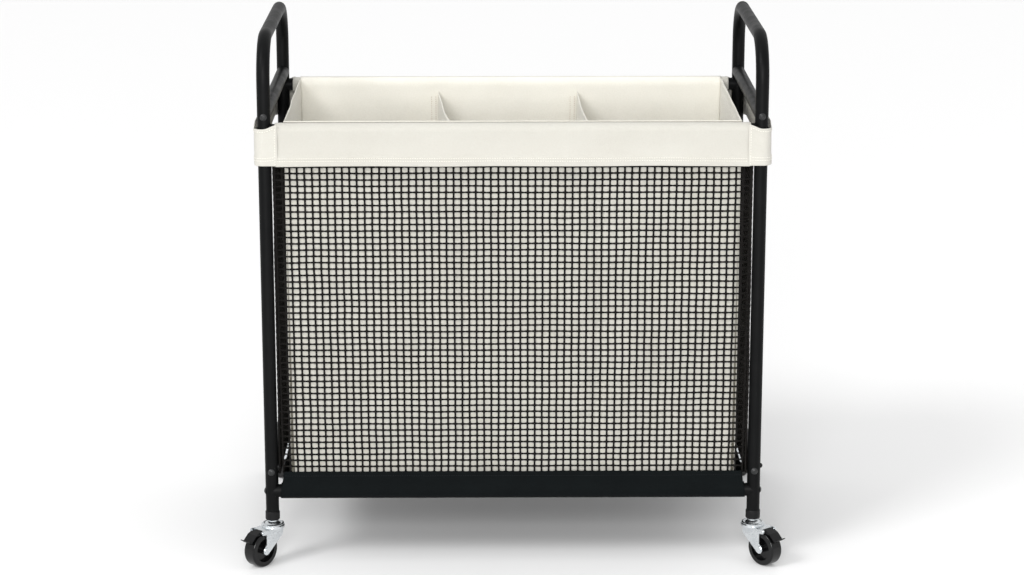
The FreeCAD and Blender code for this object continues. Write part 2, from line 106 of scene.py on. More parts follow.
class Nodes:
    """Short names for building one material's node tree."""

    def __init__(self, name):
        self.material = bpy.data.materials.new(name)
        self.material.use_nodes = True
        self.tree = self.material.node_tree
        self.shader = self.tree.nodes["Principled BSDF"]
        self.place = self.add("ShaderNodeTexCoord").outputs["Object"]

    def add(self, kind, **settings):
        node = self.tree.nodes.new(kind)
        for key, value in settings.items():
            setattr(node, key, value)
        return node

    def link(self, source, target):
        self.tree.links.new(source, target)

    def put(self, target, value):
        if isinstance(value, bpy.types.NodeSocket):
            self.link(value, target)
        else:
            target.default_value = value

    def math(self, operation, *values):
        """An input that isn't given keeps its default of 0.5, also the third of MULTIPLY_ADD."""
        node = self.add("ShaderNodeMath", operation=operation)
        for target, value in zip(node.inputs, values):
            self.put(target, value)
        return node.outputs[0]

    def noise(self, scale, detail=3.0, roughness=0.55):
        node = self.add("ShaderNodeTexNoise")
        self.link(self.place, node.inputs["Vector"])
        node.inputs["Scale"].default_value = scale
        node.inputs["Detail"].default_value = detail
        node.inputs["Roughness"].default_value = roughness
        return node.outputs["Fac"]

    def ramp(self, source, stops):
        node = self.add("ShaderNodeValToRGB")
        self.link(source, node.inputs["Fac"])
        node.color_ramp.elements[0].position = stops[0][0]
        node.color_ramp.elements[0].color = (*stops[0][1], 1)
        node.color_ramp.elements[1].position = stops[-1][0]
        node.color_ramp.elements[1].color = (*stops[-1][1], 1)
        for position, colour in stops[1:-1]:
            node.color_ramp.elements.new(position).color = (*colour, 1)
        return node.outputs["Color"]

    def spread(self, source, low, high):
        """Noise, which lies mostly between 0.3 and 0.7, spread over a range."""
        node = self.add("ShaderNodeMapRange")
        self.link(source, node.inputs["Value"])
        node.inputs["From Min"].default_value = 0.3
        node.inputs["From Max"].default_value = 0.7
        node.inputs["To Min"].default_value = low
        node.inputs["To Max"].default_value = high
        return node.outputs["Result"]

    def bump(self, height, distance, strength=1.0):
        node = self.add("ShaderNodeBump")
        self.link(height, node.inputs["Height"])
        node.inputs["Distance"].default_value = distance
        node.inputs["Strength"].default_value = strength
        self.link(node.outputs["Normal"], self.shader.inputs["Normal"])

    def axis(self, letters):
        """One coordinate, or the sum of two, as one number."""
        split = self.add("ShaderNodeSeparateXYZ")
        self.link(self.place, split.inputs[0])
        values = [split.outputs["XYZ".index(letter)] for letter in letters.upper()]
        return values[0] if len(values) == 1 else self.math("ADD", values[0], values[1])

    def wave(self, coordinate, pitch):
        return self.math("SINE", self.math("MULTIPLY", coordinate, 2 * math.pi / pitch))

    def weave(self, across, along, pitch):
        """Plain weave: crossing threads that pass over and under each other."""
        first, second = self.axis(across), self.axis(along)
        warp, weft = self.wave(first, pitch), self.wave(second, pitch)
        over = self.math("MULTIPLY", self.wave(first, 2 * pitch), self.wave(second, 2 * pitch))
        threads = self.math("ADD", self.math("ABSOLUTE", warp), self.math("ABSOLUTE", weft))
        return self.math("MULTIPLY_ADD", over, 0.6), threads


def woven(name, light, dark, across, along, pitch, roughness, depth,
          mottle=14.0, sheen=0.2, gloss=0.25):
    """Woven cloth with painted shade between the threads and lighter thread crests, slubs and soft
    mottling.
    """
    nodes = Nodes(name)
    over, threads = nodes.weave(across, along, pitch)
    height = nodes.math("ADD", over, threads)
    slub = nodes.noise(420.0, 2.0)
    cloud = nodes.noise(mottle, 4.0)
    # Painted shade: the weave height darkens the gaps between threads and lightens their crests
    tone = nodes.math("MULTIPLY_ADD", height, 0.10, 0.30)
    tone = nodes.math("ADD", tone, nodes.spread(cloud, -0.14, 0.14))
    tone = nodes.math("ADD", tone, nodes.spread(slub, -0.12, 0.12))
    nodes.link(nodes.ramp(tone, [(0.0, dark), (0.75, light)]), nodes.shader.inputs["Base Color"])
    nodes.link(nodes.spread(slub, roughness - 0.06, roughness + 0.06),
               nodes.shader.inputs["Roughness"])
    nodes.shader.inputs["Sheen Weight"].default_value = sheen
    nodes.shader.inputs["Sheen Roughness"].default_value = 0.5
    nodes.shader.inputs["Specular IOR Level"].default_value = gloss
    nodes.bump(nodes.math("ADD", height, nodes.spread(slub, -0.8, 0.8)), depth)
    return nodes.material


def powder_coat(name):
    """Black powder coat: fine orange peel, faint scuffs and dust."""
    nodes = Nodes(name)
    peel = nodes.noise(900.0, 2.0)
    scuff = nodes.noise(38.0, 6.0, 0.7)
    colour = nodes.ramp(scuff, [(0.35, (0.0018, 0.0020, 0.0022)),
                                (0.62, (0.0030, 0.0032, 0.0034)),
                                (0.80, (0.0060, 0.0062, 0.0064))])
    nodes.link(colour, nodes.shader.inputs["Base Color"])
    nodes.link(nodes.spread(scuff, 0.36, 0.52), nodes.shader.inputs["Roughness"])
    nodes.shader.inputs["Specular IOR Level"].default_value = 0.10
    nodes.bump(peel, 0.00012, 0.5)
    return nodes.material


def zinc_plate(name):
    """Bright zinc with brushed streaks, cloudy patches and dull spots."""
    nodes = Nodes(name)
    stretch = nodes.add("ShaderNodeMapping")
    nodes.link(nodes.place, stretch.inputs["Vector"])
    stretch.inputs["Scale"].default_value = (900.0, 900.0, 60.0)
    streak = nodes.add("ShaderNodeTexNoise")
    nodes.link(stretch.outputs["Vector"], streak.inputs["Vector"])
    streak.inputs["Scale"].default_value = 1.0
    cloud = nodes.noise(110.0, 5.0, 0.65)
    colour = nodes.ramp(cloud, [(0.25, (0.62, 0.65, 0.68)),
                                (0.55, (0.74, 0.77, 0.79)),
                                (0.8, (0.82, 0.84, 0.85))])
    nodes.link(colour, nodes.shader.inputs["Base Color"])
    nodes.shader.inputs["Metallic"].default_value = 1.0
    nodes.link(nodes.spread(cloud, 0.20, 0.34), nodes.shader.inputs["Roughness"])
    nodes.bump(streak.outputs["Fac"], 0.00004, 0.4)
    return nodes.material


def moulded(name, colour, roughness, gloss):
    """Moulded black plastic: fine spark grain, flow marks and worn lighter patches."""
    nodes = Nodes(name)
    fine = nodes.noise(1500.0, 2.0)
    wear = nodes.noise(85.0, 6.0, 0.7)
    worn = tuple(min(1.0, channel * 1.8 + 0.002) for channel in colour)
    nodes.link(nodes.ramp(wear, [(0.45, colour), (0.85, worn)]), nodes.shader.inputs["Base Color"])
    nodes.link(nodes.spread(wear, roughness - 0.05, roughness + 0.10),
               nodes.shader.inputs["Roughness"])
    nodes.shader.inputs["Specular IOR Level"].default_value = gloss
    nodes.bump(fine, 0.00005, 0.4)
    return nodes.material


def twisted_cord(name, colour, highlight):
    """Net twine: slanting plies along the cord with a painted highlight on their crests, and
    lighter rubbed fibres.
    """
    nodes = Nodes(name)
    ply = nodes.wave(nodes.math("ADD", nodes.axis("xz"), nodes.axis("y")), 0.0011)
    fibre = nodes.noise(2600.0, 2.0)
    # Painted highlight: the ply wave lightens the twine on each ply's crest; the fibre noise adds
    # lighter fibres at random
    tone = nodes.math("ADD", nodes.math("MULTIPLY_ADD", ply, 0.18), nodes.spread(fibre, 0.0, 0.5))
    shade = nodes.ramp(tone, [(0.1, colour), (0.9, highlight)])
    nodes.link(shade, nodes.shader.inputs["Base Color"])
    nodes.shader.inputs["Roughness"].default_value = 0.62
    nodes.shader.inputs["Specular IOR Level"].default_value = 0.12
    nodes.bump(nodes.math("ADD", ply, fibre), 0.00015, 0.6)
    return nodes.material


CREAM = (0.554, 0.542, 0.495)
CREAM_SHADE = (0.494, 0.477, 0.427)
LINING = (0.83, 0.81, 0.738)
LINING_SHADE = (0.735, 0.71, 0.632)
INK = (0.0012, 0.0018, 0.0021)
INK_LIGHT = (0.0032, 0.0050, 0.0055)

BOARD = (0.78, 0.75, 0.66)
BOARD_SHADE = (0.62, 0.59, 0.50)
THREAD = (0.88, 0.86, 0.79)
THREAD_SHADE = (0.76, 0.73, 0.65)
TAN = (0.56, 0.46, 0.37)
TAN_SHADE = (0.42, 0.33, 0.26)
BLACK_THREAD = (0.02, 0.022, 0.024)
BLACK_THREAD_SHADE = (0.01, 0.011, 0.012)

CANVAS_WEAVE = {"pitch": 0.0011, "roughness": 0.86, "depth": 0.00012}
LINING_WEAVE = {"pitch": 0.0009, "roughness": 0.9, "depth": 0.0001}
BOARD_WEAVE = {"pitch": 0.0012, "roughness": 0.88, "depth": 0.00012}
THREAD_TWIST = {"pitch": 0.0006, "roughness": 0.7, "depth": 0.00004}
BLACK_LOOK = {"mottle": 30.0, "sheen": 0.0, "gloss": 0.07}
BLACK_WEAVE = {"pitch": 0.0010, "roughness": 0.62, "depth": 0.0001, **BLACK_LOOK}
BLACK_TWIST = {"pitch": 0.0006, "roughness": 0.6, "depth": 0.00004, **BLACK_LOOK}

cream_front = woven("cream_canvas_front", CREAM, CREAM_SHADE, "x", "z", **CANVAS_WEAVE)
cream_side = woven("cream_canvas_side", CREAM, CREAM_SHADE, "y", "z", **CANVAS_WEAVE)
liner_front = woven("cream_lining_front", LINING, LINING_SHADE, "x", "z", **LINING_WEAVE)
liner_side = woven("cream_lining_side", LINING, LINING_SHADE, "y", "z", **LINING_WEAVE)
board_cloth = woven("cream_board_cloth", BOARD, BOARD_SHADE, "x", "y", **BOARD_WEAVE)
thread = woven("cream_thread", THREAD, THREAD_SHADE, "xy", "z", **THREAD_TWIST)
black_front = woven("black_base_cloth_front", INK_LIGHT, INK, "x", "z", **BLACK_WEAVE)
black_side = woven("black_base_cloth_side", INK_LIGHT, INK, "y", "z", **BLACK_WEAVE)
black_floor = woven("black_base_cloth_floor", INK_LIGHT, INK, "x", "y", **BLACK_WEAVE)
seam_thread = woven("tan_seam_thread", TAN, TAN_SHADE, "xy", "z", **THREAD_TWIST)
black_thread = woven("black_thread", BLACK_THREAD, BLACK_THREAD_SHADE, "xy", "z", **BLACK_TWIST)
net_twine = twisted_cord("net_twine", (0.0018, 0.0016, 0.0014), (0.007, 0.0062, 0.0055))
frame_paint = powder_coat("frame_powder_coat")
screw_oxide = moulded("screw_black_oxide", (0.012, 0.0125, 0.013), 0.30, 0.4)
zinc = zinc_plate("caster_zinc")
wheel_gloss = moulded("wheel_gloss_black", (0.0025, 0.0025, 0.0028), 0.16, 0.3)
plastic = moulded("moulded_black", (0.004, 0.004, 0.0044), 0.42, 0.2)

CAD_FINISH = {
    "handle_left": frame_paint, "handle_right": frame_paint,
    "handle_screws": screw_oxide, "rail_screws": screw_oxide, "rail_inserts": zinc,
    "leg_pins": plastic, "leg_sockets": plastic, "caster_stems": zinc,
}
CAD_FINISH_STARTS = {
    "post_": frame_paint, "leg_front": frame_paint, "leg_rear": frame_paint,
    "handle_rail": frame_paint, "top_rail": frame_paint, "bottom_rail": frame_paint,
    "base_board": board_cloth, "caster_fork": zinc, "caster_axles": zinc,
    "caster_wheel": wheel_gloss, "caster_brake": plastic,
}


def dress_cad_nodes():
    """Procedural finishes for the CAD nodes that stay in view."""
    for name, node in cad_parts.items():
        finish = CAD_FINISH.get(name)
        for start, candidate in CAD_FINISH_STARTS.items():
            if finish is None and name.startswith(start):
                finish = candidate
        if finish is None:
            continue
        node.data.materials.clear()
        node.data.materials.append(finish)


# ---------------------------------------------------------------- mesh helpers

def add_piece(name, points, faces, finish):
    mesh = bpy.data.meshes.new(name)
    mesh.from_pydata(points, [], faces)
    mesh.polygons.foreach_set("use_smooth", [True] * len(mesh.polygons))
    mesh.materials.append(finish)
    mesh.update()
    piece = bpy.data.objects.new(name, mesh)
    scene.collection.objects.link(piece)
    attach(piece, "root")
    return piece


def grid_faces(columns, rows):
    faces = []
    for j in range(rows):
        for i in range(columns):
            corner = j * (columns + 1) + i
            faces.append((corner, corner + 1, corner + columns + 2, corner + columns + 1))
    return faces


def cloth(name, columns, rows, place, finish, thickness=CLOTH, smooth=1):
    """Sheet of cloth with real thickness.

    place(u, v) gives its outer surface, which faces u cross v.
    """
    points = [place(i / columns, j / rows) for j in range(rows + 1) for i in range(columns + 1)]
    piece = add_piece(name, points, grid_faces(columns, rows), finish)
    solid = piece.modifiers.new("thickness", "SOLIDIFY")
    solid.thickness = thickness
    solid.offset = -1
    if smooth:
        rounding = piece.modifiers.new("rounded_edges", "SUBSURF")
        rounding.levels = smooth
        rounding.render_levels = smooth
    return piece


def facing(place, side):
    """A front or left surface, given half a turn round the cart's middle for the rear or right."""
    def turned(u, v):
        point = place(u, v)
        return Vector((-point.x, -point.y, point.z))
    return turned if side in ("rear", "right") else place


def surface_normal(place, u, v):
    step = SURFACE_STEP
    du = place(min(u + step, 1.0), v) - place(max(u - step, 0.0), v)
    dv = place(u, min(v + step, 1.0)) - place(u, max(v - step, 0.0))
    return du.cross(dv).normalized()


def inside_of(place, depth):
    """The back of a sheet. It is mirrored, so callers measure u from the other end."""
    def back(u, v):
        return place(1 - u, v) - surface_normal(place, 1 - u, v) * depth
    return back


def wobble(x, y, z, scale, seed):
    """Smooth repeatable noise from -1 to 1."""
    return noise.noise(Vector((x * scale + seed, y * scale - seed * 0.7, z * scale + seed * 0.3)))


def ease(value):
    value = min(1.0, max(0.0, value))
    return value * value * (3 - 2 * value)


def ridge(distance, width):
    """Rounded crest: 1 in its middle, about a third at the width and nothing far out."""
    return math.exp(-(distance / width) ** 2)


# A stitch's rings: place along it and share of its radius
STITCH_RINGS = ((-0.5, 0.15), (-0.3, 0.9), (0.0, 1.0), (0.3, 0.9), (0.5, 0.15))
STITCH_SIDES = 6


def stitch_row(name, path, length, finish):
    """Row of separate stitches; path(d) gives a point and its outward normal along a seam."""
    points, faces = [], []
    sides, rings = STITCH_SIDES, STITCH_RINGS
    for k in range(int(length / STITCH_PITCH)):
        d = (k + 0.5) * STITCH_PITCH
        point, normal = path(d)
        ahead, _ = path(min(d + STITCH_PITCH * 0.4, length))
        behind, _ = path(max(d - STITCH_PITCH * 0.4, 0.0))
        along = (ahead - behind).normalized()
        side = along.cross(normal).normalized()
        up = side.cross(along)
        first = len(points)
        for t, share in rings:
            centre = point + along * (t * STITCH_LENGTH) + up * (STITCH_R * (0.75 - 2.2 * t * t))
            for s in range(sides):
                angle = 2 * math.pi * s / sides
                outward = side * math.cos(angle) + up * math.sin(angle)
                points.append(centre + outward * STITCH_R * share)
        for r in range(len(rings) - 1):
            for s in range(sides):
                a = first + r * sides + s
                b = first + r * sides + (s + 1) % sides
                faces.append((a, b, b + sides, a + sides))
        last = first + (len(rings) - 1) * sides
        faces.append(tuple(first + s for s in reversed(range(sides))))
        faces.append(tuple(last + s for s in range(sides)))
    return add_piece(name, points, faces, finish)


def stitches_between(name, place, start, end, length, finish):
    """Stitches on a sheet's surface, from one (u, v) to another."""
    def path(d):
        share = d / length
        u = start[0] + (end[0] - start[0]) * share
        v = start[1] + (end[1] - start[1]) * share
        normal = surface_normal(place, u, v)
        return place(u, v) + normal * STITCH_LIFT, normal
    return stitch_row(name, path, length, finish)


# ---------------------------------------------------------------- header

FLAP = RAIL_Z - HEM_Z
SLEEVE_TAIL = 0.008
HEADER_LENGTH = FLAP + math.pi * SLEEVE_R + SLEEVE_TAIL


def header_profile(d):
    """Distance from the middle of the cart and height, d along the cloth up from the hem."""
    if d < FLAP:
        return HEADER_Y, HEM_Z + d
    if d < FLAP + math.pi * SLEEVE_R:
        angle = (d - FLAP) / SLEEVE_R
        return POST_Y + SLEEVE_R * math.cos(angle), RAIL_Z + SLEEVE_R * math.sin(angle)
    return POST_Y - SLEEVE_R, RAIL_Z - (d - FLAP - math.pi * SLEEVE_R)


def header_surface(seed):
    """Front header: hem, flap and sleeve, with slight ripples that end on the sleeve."""
    def place(u, v):
        x = (2 * u - 1) * SLEEVE_X
        d = v * HEADER_LENGTH
        out, z = header_profile(d)
        fall = 1 - ease(d / FLAP)
        ripple = 0.0011 * wobble(x, 0, z, 14, seed) * (0.35 + fall)
        ripple += 0.0005 * wobble(x, 0, z, 46, seed)
        ripple *= 1 - ease((d - FLAP - 0.010) / 0.012)
        hem = 0.0007 * (1 - ease((d - HEM_DEPTH) / 0.0015))
        pull_in = 0.0018 * ridge(d - HEM_DEPTH - 0.02, 0.016)
        y = out + ripple + hem - pull_in
        sag = 0.0009 * wobble(x, 1, 0, 7, seed) * fall
        return Vector((x, -y, z + sag))
    return place


LAP_R = SLEEVE_R + 0.0009
LAP_STRAIGHT = SIDE_X - SLEEVE_R - SLEEVE_X + 0.004
LAP_ARC = LAP_R * math.pi / 2
LAP_LENGTH = 2 * (LAP_STRAIGHT + LAP_ARC + POST_Y)


def lap_path(s):
    """Point and outward normal round the left end, rear lap first, then the side and front lap."""
    centre_x = SLEEVE_R - SIDE_X
    if s < LAP_STRAIGHT:
        return Vector((centre_x + LAP_STRAIGHT - s, POST_Y + LAP_R, 0)), Vector((0, 1, 0))
    s -= LAP_STRAIGHT
    if s < LAP_ARC:
        angle = math.pi / 2 + s / LAP_R
        normal = Vector((math.cos(angle), math.sin(angle), 0))
        return Vector((centre_x, POST_Y, 0)) + normal * LAP_R, normal
    s -= LAP_ARC
    if s < 2 * POST_Y:
        return Vector((centre_x - LAP_R, POST_Y - s, 0)), Vector((-1, 0, 0))
    s -= 2 * POST_Y
    if s < LAP_ARC:
        angle = math.pi + s / LAP_R
        normal = Vector((math.cos(angle), math.sin(angle), 0))
        return Vector((centre_x, -POST_Y, 0)) + normal * LAP_R, normal
    s -= LAP_ARC
    return Vector((centre_x + s, -POST_Y - LAP_R, 0)), Vector((0, -1, 0))


def lap_surface(seed):
    """Left header: it wraps both posts, sinks in between them and laps over the long headers."""
    def place(u, v):
        point, normal = lap_path(u * LAP_LENGTH)
        along = min(u, 1 - u) * LAP_LENGTH
        top = CORNER_Z + 0.0065 * (1 - ease(along / 0.020) + ease((along - 0.040) / 0.020))
        z = HEM_Z + v * (top - HEM_Z)
        middle_share = ease((along - 0.05) / 0.12)
        ripple = 0.0008 * wobble(point.x, point.y, z, 22, seed) * ease(along / 0.02)
        across = min(1.0, max(0.0, (point.y + POST_Y) / (2 * POST_Y)))
        sink = 0.0045 * middle_share * math.sin(math.pi * across)
        hem = 0.0006 * (1 - ease((z - HEM_Z - HEM_DEPTH) / 0.0015))
        top_roll = 0.0005 * ease((v - 0.88) / 0.05)
        sag = 0.0010 * wobble(point.x, point.y, 0, 9, seed)
        return point + normal * (ripple + hem + top_roll - sink) + Vector((0, 0, z + sag))
    return place


def build_headers():
    for end, seed in (("front", 3.1), ("rear", 8.4)):
        place = facing(header_surface(seed), end)
        header = cloth("header_cloth_" + end, 168, 44, place, cream_front)
        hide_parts("header_" + end)
        for row, rise in enumerate(HEM_ROWS):
            level = rise / HEADER_LENGTH
            stitches_between(
                f"header_{end}_hem_stitches_{row}", place, (0.003, level), (0.997, level),
                2 * SLEEVE_X * 0.994, thread)
    height = CORNER_Z - HEM_Z
    levels = [rise / height for rise in HEM_ROWS] + [1 - EDGE_ROW / height]
    for side, seed in (("left", 5.2), ("right", 11.7)):
        place = facing(lap_surface(seed), side)
        header = cloth("header_cloth_" + side, 150, 20, place, cream_side)
        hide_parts("header_" + side)
        for row, level in enumerate(levels):
            stitches_between(
                f"header_{side}_hem_stitches_{row}", place, (0.004, level), (0.996, level),
                LAP_LENGTH * 0.992, thread)
        for row, u in enumerate((LAP_ROW / LAP_LENGTH, 1 - LAP_ROW / LAP_LENGTH)):
            stitches_between(
                f"header_{side}_lap_stitches_{row}", place, (u, 0.02), (u, 0.98),
                height * 0.96, thread)


# ---------------------------------------------------------------- liner and dividers

# X of each divider's top at its front and rear end
DIVIDER_FRONT = {side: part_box("divider_" + side)[1].x for side in ("left", "right")}
DIVIDER_REAR = {side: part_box("divider_" + side)[0].x for side in ("left", "right")}

LINER_ROLL_R = SLEEVE_R + 0.0012
LINER_RISE = RAIL_Z - BAG_FLOOR_Z
LINER_LENGTH = LINER_RISE + LINER_ROLL_R * math.radians(74)
SEAM_ROWS = (0.0045, 0.0110)
SEAM_DEPTH = 0.0013


def wall_folds(x, z, seams, seed, amount):
    """How far a liner wall stands out: it bellies between its seams and creases beside them."""
    rise = (z - BAG_FLOOR_Z) / LINER_RISE
    belly = math.sin(math.pi * min(1.0, max(0.0, rise))) ** 0.8
    out = 0.0030 * belly * (0.75 + 0.5 * wobble(x, 0, z, 4, seed))
    low = 1 - ease((rise - 0.15) / 0.6)
    out += amount * 0.0016 * wobble(x + 0.7 * z, 0, 0.35 * z, 16, seed) * (0.35 + low)
    out += amount * 0.0010 * wobble(x - 0.9 * z, 2, 0.4 * z, 26, seed + 4) * (0.25 + low)
    for seam in seams:
        out -= 0.0040 * ridge(x - seam, 0.007) * belly
        for lean in (-1, 1):
            crease = x - seam - lean * (0.012 + 0.16 * max(0.0, z - BAG_FLOOR_Z - 0.05))
            fade = ease((0.60 - rise) / 0.25) * ease((rise - 0.04) / 0.12)
            out += amount * 0.0022 * ridge(crease, 0.011) * fade
    return out


def liner_long_surface(seams, seed, amount):
    """Front wall of the liner, from the floor up the inside and over the sleeve, near its crest."""
    def place(u, v):
        d = v * LINER_LENGTH
        if d > LINER_RISE:
            angle = (d - LINER_RISE) / LINER_ROLL_R
            out = POST_Y - LINER_ROLL_R * math.cos(angle)
            return Vector(((2 * u - 1) * LINER_X, -out, RAIL_Z + LINER_ROLL_R * math.sin(angle)))
        z = BAG_FLOOR_Z + d
        taper = 0.006 * (1 - d / LINER_RISE)
        x = (2 * u - 1) * (LINER_X - taper)
        edge = ease((LINER_X - abs(x)) / 0.03)
        folds = wall_folds(x, z, seams, seed, amount) * (0.2 + 0.8 * edge)
        over_sleeve = ease((z - RAIL_Z + 0.080) / 0.065)
        flush = POST_Y - LINER_ROLL_R
        out = (LINER_Y - 0.0002 + folds) * (1 - over_sleeve) + flush * over_sleeve
        return Vector((x, -out, z))
    return place


def liner_side_surface(seed):
    """Left wall of the liner; its top edge sags a little and its face bellies out."""
    def place(u, v):
        y = (0.5 - u) * BAG_DEPTH
        sag = 0.0010 * math.sin(math.pi * u) + 0.0008 * wobble(0, y, 0, 9, seed)
        z = BAG_FLOOR_Z + v * (LINER_SIDE_TOP_Z - sag - BAG_FLOOR_Z)
        edge = math.sin(math.pi * u) ** 0.5 if 0 < u < 1 else 0.0
        belly = math.sin(math.pi * min(1.0, v * 1.05)) if v < 0.95 else 0.0
        out = 0.004 * belly * edge + 0.002 * wobble(0, y + 0.5 * z, z, 13, seed) * edge
        top_fold = 0.0006 * ease((v - 0.968) / 0.006)
        return Vector((-(LINER_X + out + top_fold), y, z))
    return place


def divider_surface(side, seed):
    """Divider between the long walls; its face leans and its top edge sags in the middle."""
    reach = POST_Y - SLEEVE_R - 0.0012
    front_x, rear_x = DIVIDER_FRONT[side], DIVIDER_REAR[side]

    def place(u, v):
        y = -reach + 2 * reach * u
        sag = 0.0035 * math.sin(math.pi * u)
        z = BAG_FLOOR_Z + 0.004 + v * (DIVIDER_TOP_Z - sag - BAG_FLOOR_Z - 0.004)
        belly = math.sin(math.pi * u)
        lean = 0.006 * math.sin(1.4 * math.pi * v) + 0.003 * wobble(0, y, z, 9, seed)
        fold = 0.0005 * ease((v - 0.965) / 0.006)
        return Vector((front_x + (rear_x - front_x) * u + lean * belly + fold, y, z))
    return place


def build_liner():
    for end, seed, creases in (("front", 2.3, 1.0), ("rear", 6.6, 0.6)):
        if end == "front":
            seams = [DIVIDER_FRONT[side] for side in ("left", "right")]
        else:
            seams = [-DIVIDER_REAR[side] for side in ("left", "right")]
        place = facing(liner_long_surface(seams, seed, creases), end)
        inner = inside_of(place, SEAM_DEPTH)
        wall = cloth("liner_cloth_" + end, 172, 132, place, liner_front,
                     LINER_CLOTH, 0)
        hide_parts("liner_" + end)
        for number, seam in enumerate(seams):
            for row, offset in enumerate(SEAM_ROWS):
                u = 0.5 - (seam + offset) / (2 * LINER_X)
                stitches_between(
                    f"liner_{end}_seam_{number}_{row}", inner, (u, 0.94), (u, 0.02),
                    LINER_LENGTH * 0.92, seam_thread)
    for side, seed in (("left", 4.4), ("right", 9.9)):
        place = facing(liner_side_surface(seed), side)
        wall = cloth("liner_cloth_" + side, 96, 120, place, liner_side,
                     LINER_CLOTH, 0)
        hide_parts("liner_" + side)
        hem = stitches_between(
            f"liner_{side}_hem_stitches", place, (0.01, 0.975), (0.99, 0.975),
            BAG_DEPTH * 0.98, thread)
        place = divider_surface(side, seed + 20)
        divider = cloth("divider_cloth_" + side, 96, 110, place, liner_side,
                        DIVIDER_CLOTH, 0)
        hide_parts("divider_" + side)
        hem = stitches_between(
            f"divider_{side}_hem_stitches", place, (0.01, 0.972), (0.99, 0.972),
            BAG_DEPTH * 0.98, thread)


# ---------------------------------------------------------------- net

# The net as it is drawn, and the flat height stated for it, which is 2 mm more
NET_START_Z = NET_LOW.z - 0.002
NET_RISE = HEM_Z + 0.008 - NET_LOW.z
NET_HEIGHT = NET_RISE + 0.002
# Any direction that no cord runs along; it sets how the cords' rings are turned
CORD_GUIDE = Vector((0.31, 0.43, 0.85))


def add_net(side, place, width):
    """Open net: twine both ways, thicker where it crosses; place(u, v) is its middle surface."""
    columns = round(width / NET_PITCH_X)
    rows = round(NET_HEIGHT / NET_PITCH_Z)
    points, faces = [], []

    def strand(samples, thin):
        first = len(points)
        for k, point in enumerate(samples):
            ahead = samples[min(k + 1, len(samples) - 1)]
            behind = samples[max(k - 1, 0)]
            along = (ahead - behind).normalized()
            level = along.cross(CORD_GUIDE).normalized()
            up = along.cross(level)
            radius = thin if k % 2 else KNOT_R
            for s in range(CORD_SIDES):
                angle = 2 * math.pi * s / CORD_SIDES
                points.append(point + (level * math.cos(angle) + up * math.sin(angle)) * radius)
        for k in range(len(samples) - 1):
            for s in range(CORD_SIDES):
                a = first + k * CORD_SIDES + s
                b = first + k * CORD_SIDES + (s + 1) % CORD_SIDES
                faces.append((a, b, b + CORD_SIDES, a + CORD_SIDES))
        last = first + (len(samples) - 1) * CORD_SIDES
        faces.append(tuple(first + s for s in reversed(range(CORD_SIDES))))
        faces.append(tuple(last + s for s in range(CORD_SIDES)))

    for i in range(columns + 1):
        strand([place(i / columns, k / (2 * rows)) for k in range(2 * rows + 1)], CORD_R)
    for j in range(rows + 1):
        strand([place(k / (2 * columns), j / rows) for k in range(2 * columns + 1)], LEVEL_CORD_R)
    net = add_piece("net_twine_" + side, points, faces, net_twine)
    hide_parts("net_" + side)


def net_long_surface(seed):
    """Front net, narrower towards the bottom, with its rows and columns slightly uneven."""
    def place(u, v):
        z = NET_START_Z + v * NET_RISE
        x = (2 * u - 1) * (NET_X - 0.004 * (1 - v))
        edge = ease((NET_X - abs(x)) / 0.02)
        x += 0.0007 * wobble(x, 0, z, 30, seed) * edge
        z += 0.0006 * wobble(x, 3, z, 30, seed + 2)
        belly = 0.0038 * math.sin(math.pi * v) * edge
        out = NET_Y - 0.001 + belly + 0.0009 * wobble(x, 0, z, 11, seed) * edge
        return Vector((x, -out, z))
    return place


def net_side_surface(seed):
    """Left net: it bulges outwards between the posts."""
    def place(u, v):
        y = (1 - 2 * u) * (POST_Y - 0.001)
        z = NET_START_Z + v * NET_RISE
        bulge = 0.0050 * math.sin(math.pi * u) * math.sin(math.pi * v) ** 0.7 if 0 < v < 1 else 0.0
        y += 0.0006 * wobble(0, y, z, 30, seed)
        z += 0.0006 * wobble(3, y, z, 30, seed + 2)
        return Vector((-(NET_SIDE_X + bulge + 0.0008 * wobble(0, y, z, 12, seed)), y, z))
    return place


def build_nets():
    for end, seed in (("front", 1.9), ("rear", 7.3)):
        add_net(end, facing(net_long_surface(seed), end), 2 * NET_X)
    for side, seed in (("left", 3.8), ("right", 12.2)):
        add_net(side, facing(net_side_surface(seed), side), 2 * POST_Y)


# ---------------------------------------------------------------- base skirt

SKIRT_R = SKIRT_Y - POST_Y
SKIRT_TOP_Z = SKIRT_HIGH.z
SKIRT_RISE = SKIRT_TOP_Z - LOW_RAIL_Z
SKIRT_INNER = 0.009
SKIRT_LENGTH = SKIRT_RISE + math.pi * SKIRT_R + SKIRT_INNER
SKIRT_DEPTH = 2 * (POST_Y - SKIRT_R)
SKIRT_EDGE_Y = NET_Y + 0.0014
BINDING = 0.006
FLOOR_CLOTH_Z = BAG_FLOOR_Z - 0.0022


def skirt_profile(d):
    """Distance from the middle and height, d along the cloth from its top edge.

    It goes down, round the bottom rail and a little way up inside.
    """
    if d < SKIRT_RISE:
        share = ease(d / SKIRT_RISE * 1.15)
        return SKIRT_EDGE_Y + (SKIRT_Y - SKIRT_EDGE_Y) * share, SKIRT_TOP_Z - d
    angle = (d - SKIRT_RISE) / SKIRT_R
    if angle < math.pi:
        return POST_Y + SKIRT_R * math.cos(angle), LOW_RAIL_Z - SKIRT_R * math.sin(angle)
    return POST_Y - SKIRT_R, LOW_RAIL_Z + (d - SKIRT_RISE - math.pi * SKIRT_R)


